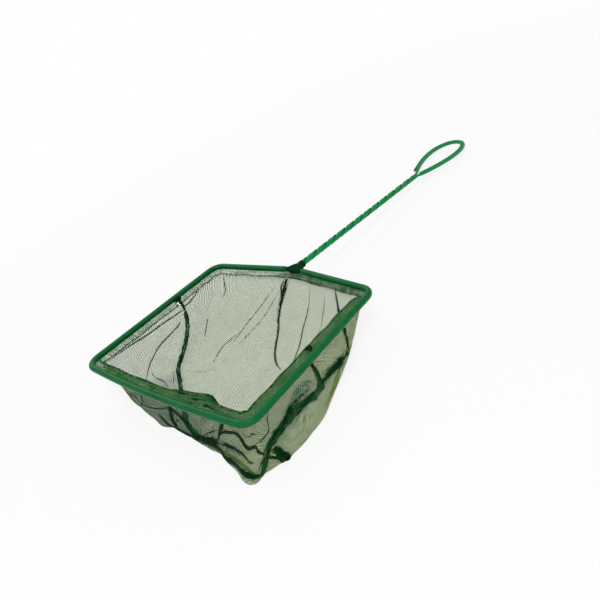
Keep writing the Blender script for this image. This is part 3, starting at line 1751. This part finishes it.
    def gathered(self, panel: Panel, column: Points, share: Points, soft: Points) -> Points:
        """How closely a panel's netting lies.

        It is closer along the hem and the seam, towards the seam on the right, beside the folds,
        and in the middle of the front panel, whose slack part on the right is more open.

        Args:
            panel: The front or the back.
            column: Columns, in a row.
            share: Shares of the way from the hem to the seam, in a column.
            soft: How much closer the folds make it, at every point.

        Returns:
            The gather to paint at every point.
        """
        start, over = self.low_columns
        low = self.low_closing * ease((column - start) / over)
        low = low * np.exp(-(1 - share) * self.low_rate)
        base = self.low_back * low
        if panel is Panel.FRONT:
            slack = window(column, *self.slack_columns) * window(share, *self.slack_shares)
            base = level_at(self.base, column) + low - self.slack * slack
        beside = np.where(soft > self.least_fold, soft, base)
        gather = np.maximum(beside, base + self.fold_share * soft)
        (hem, hem_rate), (seam, seam_rate) = self.hem_closing, self.seam_closing
        edge = hem * np.exp(-share * hem_rate) + seam * np.exp(-(1 - share) * seam_rate)
        edge = np.where(edge > self.least_edge, edge, LOOSEST) + 0 * column
        return clamp(np.maximum(gather, edge), LOOSEST)

    def shape(self, panel: Panel) -> tuple[Points, Points, Points]:
        """A panel with its folds, ripples and the lap under the hem.

        Args:
            panel: The front or the back.

        Returns:
            The grid in metres, the painted gather and the painted creases.
        """
        side = BAG_SIDES[panel]
        column = np.linspace(0, COLUMNS, COLUMNS * self.per_column + 1)[None, :]
        share = np.linspace(0, 1, side.rows)[:, None]
        grid = self.plain(panel, column + 0 * share, share + 0 * column)
        normal = np.cross(np.gradient(grid, axis=1), np.gradient(grid, axis=0))
        normal = side.outward * unit(normal)
        lift, soft, line = np.zeros((3, *grid.shape[:2]))
        for fold in self.folds:
            if fold.panel is panel:
                height, shadow, tent = self.crease(fold, grid)
                lift = lift + height
                soft = np.maximum(soft, shadow)
                line = np.maximum(line, tent)
        held = np.sin(math.pi * clamp(share)) ** self.held[0]
        held = held * np.sin(math.pi * column / COLUMNS) ** self.held[1]
        wave = self.ripples.at(grid[..., 0], grid[..., 1]) * side.ripples
        if panel is Panel.FRONT:
            for count, start, size in self.pleats:
                pleat = np.sin(TURN * count * column / COLUMNS + start) * size
                wave = wave + pleat * ease(share * self.pleat_growth)
        grid = grid + normal * ((wave * held + lift) / 1000)[..., None]
        grid[..., 2] = np.maximum(grid[..., 2], FLOOR_GAP)
        lap = np.linspace(self.lap_from, self.lap_to, self.lap_rows)[:, None]
        under = self.hem.edge(panel, column + 0 * lap, lap + 0 * column, -self.lap_drop)
        grid = np.concatenate([self.pose.laid(under), grid])
        first = self.hem.closed(panel, column) + self.lap_closing + 0 * lap
        gather = np.concatenate([first, self.gathered(panel, column, share, soft)])
        return grid, gather, np.concatenate([0 * first, line])

    def panel(self, panel: Panel, finish: Finishes) -> Piece:
        """Build one panel.

        Args:
            panel: The front or the back.
            finish: The finishes.

        Returns:
            The panel.
        """
        grid, gather, line = self.shape(panel)
        skin = Skin(f"{panel.value}_bag_netting", grid, turned=panel is Panel.FRONT)
        skin.paint = {"gather": gather, "crease": line}
        piece = dressed(skin.build(), finish.netting)
        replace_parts(piece, f"{panel.value}_panel")
        return piece

    def roll(self, finish: Finishes) -> Piece:
        """Build the rolled seam: a lumpy tube along the seam, thicker where it lies bunched on the
        right and along the bottom. The rolled layers show as slanting ridges, sines of the angle
        round the tube and the distance along it.

        Args:
            finish: The finishes.

        Returns:
            The seam.
        """
        column = np.linspace(0, COLUMNS, self.roll_points)
        laid = self.pose.laid(self.seam_at(column))
        along = lengths_along(laid)
        radius = along_bag(np.array(ROLL_R)[:, None], column)[:, 0]
        radius = radius * (1 + self.roll_lumps.at(along, 0 * along)) / 1000
        laid[:, 2] = np.maximum(laid[:, 2], radius * self.roll_sunk)
        size = rounded_ends(radius, along, self.roll_tip_m)
        grid = tube(laid, UP, size, self.roll_sides, self.roll_squash)
        angle = np.linspace(0, TURN, self.roll_sides, endpoint=False)[None, :]
        twist = along[:, None] * 1000
        rough = sum(high * np.sin(n * angle + rate * twist) for n, rate, high in self.roll_ridges)
        grid = laid[:, None] + (grid - laid[:, None]) * (1 + rough)[..., None]
        grid[..., 2] = np.maximum(grid[..., 2], FLOOR_GAP)
        skin = Skin("rolled_bag_seam", grid, ring=True, capped=True)
        band = np.sin(twist * self.roll_band_rate + 2 * angle)
        skin.paint["gather"] = self.roll_gather + self.roll_band * band
        piece = dressed(skin.build(), finish.roll)
        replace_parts(piece, "bag_seam")
        return piece

    def build(self, finish: Finishes) -> None:
        """Args:
            finish: The finishes.
        """
        seam = self.roll(finish)
        for panel in Panel:
            piece = self.panel(panel, finish)
            areas = np.zeros(len(piece.data.polygons))
            piece.data.polygons.foreach_get("area", areas)


def wound(centre: Points, axis: Points, side: Points, radius: float, turns: float,
          pitch: float, steps: int) -> tuple[Points, Points]:
    """A thread wound round a line: centre + axis (h) + radius (cos a side + sin a other).

    Args:
        centre: Middle of the winding.
        axis: Direction of the line.
        side: A direction square to it, where the winding begins.
        radius: Distance of the thread's centre from the line.
        turns: Number of turns.
        pitch: How far the thread moves along the line in a turn.
        steps: Points of the thread.

    Returns:
        The thread's points, and the direction away from the line at each.
    """
    angle = np.linspace(0, TURN * turns, steps)
    other = np.cross(axis, side)
    away = np.cos(angle)[:, None] * side + np.sin(angle)[:, None] * other
    height = (angle / TURN - turns / 2) * pitch
    return centre + radius * away + height[:, None] * axis, away


@dataclass(frozen=True)
class Knot:
    """One lump of a tie: how far in from the wire and how far along the rim it lies, its height
    and its half sizes."""

    inward: float
    along: float
    up: float
    half: Place


@dataclass
class Ties:
    """The two thread ties that hold the ends of the seam to the wire, through the tube's slit.

    Each has a thin stem out of the slit, the lumps of its knot on the inner side of the tube, a
    leg of two threads side by side down to the seam, and a short loose end.
    """

    pose: Pose
    rim: RimShape
    bag: Bag
    left: tuple[Knot, ...] = (
        Knot(4.3, 0.2, 0.3, (2.3, 2.9, 2.2)),
        Knot(9.0, -1.4, -0.6, (1.3, 1.5, 1.2)),
    )
    right: tuple[Knot, ...] = (Knot(4.9, 0.6, 1.7, (2.2, 3.1, 2.1)),)
    cord: float = 0.8
    lump_points: int = 330
    lump_turns: float = 11.0
    lump_swings: float = 2.5
    lump_start: float = 0.4
    lump_uneven: float = 0.1
    lump_rate: float = 0.37
    stem_from: float = 1.3
    stem_r: float = 0.24
    legs: Pair = (-0.35, 0.4)
    leg_r: float = 0.56
    leg_sag: float = 1.28
    leg_spread: float = 0.64
    tail: Place = (-2.6, 2.4, 0.8)
    tail_bend: float = 0.8
    tail_r: float = 0.25
    run_points: int = 40

    def lump(self, knot: Knot, place: Points, frame: Points) -> tuple[Points, Points]:
        """Wind thread into a lump: with a polar angle p and a swing s that both grow along the
        thread, it goes through (cos p cos s, cos p sin s, sin p) on an ellipsoid.

        Args:
            knot: The lump.
            place: The point of the rim that it is measured from.
            frame: The directions out of the rim, along it and up.

        Returns:
            The thread's points and the direction away from the lump's middle at each.
        """
        share = np.linspace(0, 1, self.lump_points)
        polar = TURN * self.lump_turns * share
        swing = TURN * self.lump_swings * share + self.lump_start
        flat = np.cos(polar)
        ball = np.stack([flat * np.cos(swing), flat * np.sin(swing), np.sin(polar)], axis=1)
        size = (1 + self.lump_uneven * np.sin(polar * self.lump_rate))[:, None]
        size = (np.array(knot.half) - self.cord / 2) * size
        middle = place + np.array([-knot.inward, knot.along, knot.up]) @ frame
        return middle + (ball * size) @ frame, ball @ frame

    def tie(self, right: bool, finish: Finishes) -> Piece:
        """Build a tie.

        Args:
            right: The right tie rather than the left one.
            finish: The finishes.

        Returns:
            The tie.
        """
        sign = 1.0 if right else -1.0
        rim, knots = self.rim, self.right if right else self.left
        spot = rim.side_point(rim.right_tie_y if right else rim.left_tie_y)
        flat = np.array([spot, rim.side_out, rim.side_dir]) * (sign, 1.0)
        place, out, axis = np.concatenate([flat, np.zeros((3, 1))], axis=1)
        frame = np.stack([out, axis, UP])
        parts = [(*self.lump(knot, place, frame), self.cord / 2) for knot in knots]
        middle = place - out * knots[0].inward
        start = place - out * knots[-1].inward + axis * knots[-1].along
        foot = self.bag.seam_at(np.array([float(COLUMNS) if right else 0.0]))[0]
        reach = np.linspace(0, 1, self.run_points)[:, None]
        arch = np.sin(math.pi * reach)
        slit = place - out * self.stem_from
        parts.append((slit + (middle - slit) * reach, UP, self.stem_r))
        for shift in self.legs:
            slack = np.array([-self.leg_sag, shift * self.leg_spread, -self.leg_sag]) @ frame
            leg = start + axis * shift + (foot - start) * reach + slack * arch * (1 - reach)
            parts.append((leg, out, self.leg_r))
        tail = middle + reach * (np.array(self.tail) @ frame) + arch * UP * self.tail_bend
        parts.append((tail, UP, self.tail_r))
        runs = [
            run_of_thread(f"strand_{number}", self.pose.laid(points), up, radius / 1000)
            for number, (points, up, radius) in enumerate(parts)
        ]
        name = "right_tie_knot" if right else "left_tie_knot"
        return joined(runs, name, finish.thread)

    def build(self, finish: Finishes) -> None:
        """Build both ties."""
        for right, node in ((False, "left_tie"), (True, "right_tie")):
            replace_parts(self.tie(right, finish), node)


def joined(pieces: list[Piece], name: str, material: Material) -> Piece:
    """Join runs of one piece into one object.

    Args:
        pieces: The runs.
        name: Name of the whole.
        material: Its finish.

    Returns:
        The whole piece, dressed.
    """
    with bpy.context.temp_override(
        active_object=pieces[0], selected_editable_objects=pieces, selected_objects=pieces
    ):
        bpy.ops.object.join()
    pieces[0].name = name
    pieces[0].data.name = name
    return dressed(pieces[0], material)


@dataclass
class Binding:
    """The thread wound over the fork of the wires and the foot of the handle.

    The lump over the fork is a rounded block with its half sizes and its middle in the handle's
    plane. It narrows towards the handle. The coils round the handle's foot and round both arms of
    the fork each have their distance from the fork, their radius, turns and points.
    """

    pose: Pose
    rim: RimShape
    handle: Handle
    cord: float = 0.9
    half: Place = (7.6, 5.6, 2.8)
    narrowing: float = 4.8
    narrow_from: float = 0.45
    roundness: float = 2.5
    middle: Place = (1.2, 2.4, 0.0)
    pole: float = 0.02
    rings: int = 70
    facets: int = 96
    turn_pitch: float = 0.95
    turn_height: float = 0.3
    turn_lean: float = 0.45
    turn_wander: float = 0.6
    cross_pitch: float = 1.1
    cross_height: float = 0.16
    cross_lean: float = 0.4
    foot: tuple[float, float, int, int] = (8.0, 2.3, 4, 240)
    foot_shift: float = 0.4
    foot_widening: float = 1.12
    arm: tuple[float, float, int, int] = (5.8, 1.55, 2, 150)

    def core(self) -> Piece:
        """Build the wound lump over the fork: a closed surface whose radius in each direction is
        that of a rounded block, r = (|x/a|^p + |y/b|^p + |z/c|^p)^(-1/p), with ridges where the
        thread lies in slanting turns and across them.

        Returns:
            The lump.
        """
        polar = np.linspace(self.pole, math.pi - self.pole, self.rings)[:, None]
        around = np.linspace(0, TURN, self.facets, endpoint=False)[None, :]
        y = -np.cos(polar) + 0 * around
        away = np.stack([np.sin(polar) * np.cos(around), y, np.sin(polar) * np.sin(around)], -1)
        narrow = self.narrowing * clamp(y + self.narrow_from)
        half = np.stack([self.half[0] - narrow, 0 * y + self.half[1], 0 * y + self.half[2]], -1)
        size = np.sum(np.abs(away / half) ** self.roundness, axis=-1) ** (-1 / self.roundness)
        point = away * size[..., None]
        x, y, z = point[..., 0], point[..., 1], point[..., 2]
        lean = math.pi * (y + self.turn_lean * np.abs(x)) / self.turn_pitch
        turns = np.abs(np.sin(lean + self.turn_wander * np.sin(x)))
        cross = np.abs(np.sin(math.pi * (x - self.cross_lean * y) / self.cross_pitch))
        ridge = self.turn_height * turns + self.cross_height * cross * clamp(z / 3)
        point = point * (1 + ridge / np.maximum(size, 1))[..., None] + np.array(self.middle)
        return Skin("lump", self.placed(point), ring=True, capped=True).build()

    def placed(self, points: Points) -> Points:
        """From the handle's plane at the rim's apex to the row's frame, in metres."""
        return self.pose.laid(self.handle.hung(points))

    def winding(self) -> list[Piece]:
        """Build the turns of thread round the foot of the handle and round both arms of the fork.

        Returns:
            The runs of thread.
        """
        ahead = np.array([0.0, 1.0, 0.0])
        far, radius, turns, steps = self.foot
        centre = ahead * far + np.array([self.foot_shift, 0.0, 0.0])
        coil, away = wound(centre, ahead, UP, radius, turns, self.cord, steps)
        coil[:, 0] *= self.foot_widening
        runs = [(coil, away)]
        far, radius, turns, steps = self.arm
        for sign in (-1.0, 1.0):
            axis = np.array([-self.rim.back_dir[0] * sign, -self.rim.back_dir[1], 0.0])
            runs.append(wound(axis * far, axis, UP, radius, turns, self.cord, steps))
        return [
            run_of_thread(f"run_{number}", self.placed(points), up, self.cord / 2000)
            for number, (points, up) in enumerate(runs)
        ]

    def build(self, finish: Finishes) -> None:
        """Build the whole binding as one piece.

        Args:
            finish: The finishes.
        """
        runs = [self.core(), *self.winding()]
        piece = joined(runs, "handle_root_binding", finish.binding)
        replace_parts(piece, "root_binding")


@dataclass(frozen=True)
class Lamp:
    """A square soft lamp: where it hangs, in metres, the length of its side and its watts."""

    name: str
    place: Place
    side: float
    power: float

    def hang(self, aim: Points) -> None:
        """Make the lamp and point it.

        Args:
            aim: What it points at, in metres.
        """
        data = bpy.data.lights.new(self.name, "AREA")
        data.shape, data.size, data.energy = "SQUARE", self.side, self.power
        lamp = bpy.data.objects.new(self.name, data)
        back = unit(np.array(self.place) - aim)
        across = unit(np.cross(UP, back))
        matrix = np.eye(4)
        matrix[:3, :3] = np.stack([across, np.cross(back, across), back], axis=1)
        matrix[:3, 3] = self.place
        lamp.matrix_world = Matrix(matrix.tolist())
        bpy.context.scene.collection.objects.link(lamp)


@dataclass
class Studio:
    """The camera at the photograph's viewpoint, a white floor and soft light.

    The camera's place and axes are in the rim's frame. The floor glows more, up to a limit, the
    further it is from the middle.
    """

    pose: Pose
    focal_px: float = 589.65
    frame_px: float = 600.0
    sensor_mm: float = 36.0
    place: Place = (273.015, -126.511, 199.091)
    right: Place = (0.76907, 0.58258, -0.26294)
    down: Place = (0.14136, -0.55623, -0.81892)
    ahead: Place = (-0.62334, 0.59264, -0.51013)
    floor_half: float = 40.0
    floor_drop: float = 0.00002
    floor_colour: Colour = (0.86, 0.86, 0.85)
    glow_near: float = 0.82
    glow_more: float = 0.18
    glow_from: float = 0.25
    glow_rate: float = 1.6
    lamps: tuple[Lamp, ...] = (
        Lamp("key_lamp", (0.5, -0.55, 1.15), 0.5, 7.5),
        Lamp("fill_lamp", (-0.9, 0.3, 0.9), 0.9, 4.0),
    )
    aim: Place = (0.0, -0.1, 0.02)
    surroundings: Colour = (0.98, 1.0, 0.97)
    strength: float = 0.55
    white: Colour = (1.0, 1.0, 1.0)

    def camera(self) -> None:
        """Make the camera, its axes turned from the rim's frame into the row's."""
        data = bpy.data.cameras.new("viewpoint")
        data.lens = self.focal_px / self.frame_px * self.sensor_mm
        data.sensor_width = self.sensor_mm
        data.sensor_fit = "HORIZONTAL"
        data.clip_start, data.clip_end = 0.01, 20.0
        camera = bpy.data.objects.new("viewpoint", data)
        bpy.context.scene.collection.objects.link(camera)
        axes = np.array([self.right, -np.array(self.down), -np.array(self.ahead)])
        ends = self.pose.laid(np.concatenate([[self.place], axes + np.array(self.place)]))
        turned = (ends[1:] - ends[0]) * 1000
        matrix = np.eye(4)
        matrix[:3, :3] = turned.T
        matrix[:3, 3] = ends[0]
        camera.matrix_world = Matrix(matrix.tolist())
        bpy.context.scene.camera = camera

    def floor(self) -> None:
        """Lay the floor, with the net's soft shadow. To the camera and in reflections it glows
        white, a little less near the net."""
        edge = np.linspace(-self.floor_half, self.floor_half, 9)
        x, y = np.meshgrid(edge, edge, indexing="xy")
        floor = Skin("floor", np.stack([x, y, 0 * x - self.floor_drop], axis=-1)).build()
        shade = Shade("white_floor")
        shade.set(Base_Color=self.floor_colour, Roughness=0.9, Specular_IOR_Level=0.1)
        glow = shade.node("ShaderNodeEmission", {}, {"Color": (*self.white, 1.0), "Strength": 1.0})
        path = shade.node("ShaderNodeLightPath", {}, {}).outputs
        seen = Num(shade, path["Is Camera Ray"]) + Num(shade, path["Is Glossy Ray"])
        seen = seen + Num(shade, path["Is Transmission Ray"])
        place = shade.node("ShaderNodeTexCoord", {}, {}).outputs["Object"]
        away = shade.number("ShaderNodeVectorMath", {"operation": "LENGTH"}, {0: place}, "Value")
        further = ((away - self.glow_from) * self.glow_rate).held()
        glowing = further * self.glow_more + self.glow_near
        inputs = {0: seen.held() * glowing, 1: shade.shader.outputs[0], 2: glow.outputs[0]}
        mix = shade.node("ShaderNodeMixShader", {}, inputs)
        shade.tree.links.new(mix.outputs[0], shade.output.inputs["Surface"])
        floor.data.materials.append(shade.material)

    def light(self) -> None:
        """Set the pale surroundings, white to the camera, and hang the lamps."""
        world = bpy.data.worlds.new("surroundings")
        bpy.context.scene.world = world
        world.use_nodes = True
        tree = world.node_tree
        tree.nodes.clear()
        path = tree.nodes.new("ShaderNodeLightPath")
        mix = tree.nodes.new("ShaderNodeMixShader")
        out = tree.nodes.new("ShaderNodeOutputWorld")
        tree.links.new(path.outputs["Is Camera Ray"], mix.inputs[0])
        skies = ((self.surroundings, self.strength), (self.white, 1.0))
        for number, (colour, strength) in enumerate(skies, 1):
            sky = tree.nodes.new("ShaderNodeBackground")
            sky.inputs["Color"].default_value = (*colour, 1.0)
            sky.inputs["Strength"].default_value = strength
            tree.links.new(sky.outputs[0], mix.inputs[number])
        tree.links.new(mix.outputs[0], out.inputs["Surface"])
        for lamp in self.lamps:
            lamp.hang(np.array(self.aim))

    def build(self) -> None:
        """Build the whole studio."""
        self.floor()
        self.light()


def main() -> None:
    """Build every piece round the frame, in order."""
    logging.basicConfig(level=logging.INFO, format="%(message)s")
    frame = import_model()
    scene = bpy.context.scene
    scene.view_settings.view_transform = "Standard"
    scene.cycles.transparent_max_bounces = SEEN_LAYERS
    pose, rim = Pose(), RimShape()
    studio = Studio(pose)
    studio.camera()
    finish = Finishes.make()
    steel = frame["nodes"]["steel_wire"]
    steel.data.materials.clear()
    steel.data.materials.append(finish.steel)
    handle = Handle(rim)
    Wire(pose, rim, handle).build(finish)
    Guard(pose, rim).build(finish)
    hem = HemShape(rim)
    Hems(pose, hem).build(finish)
    bag = Bag(pose, hem)
    bag.build(finish)
    Ties(pose, rim, bag).build(finish)
    Binding(pose, rim, handle).build(finish)
    studio.build()


if __name__ == "__main__":
    main()
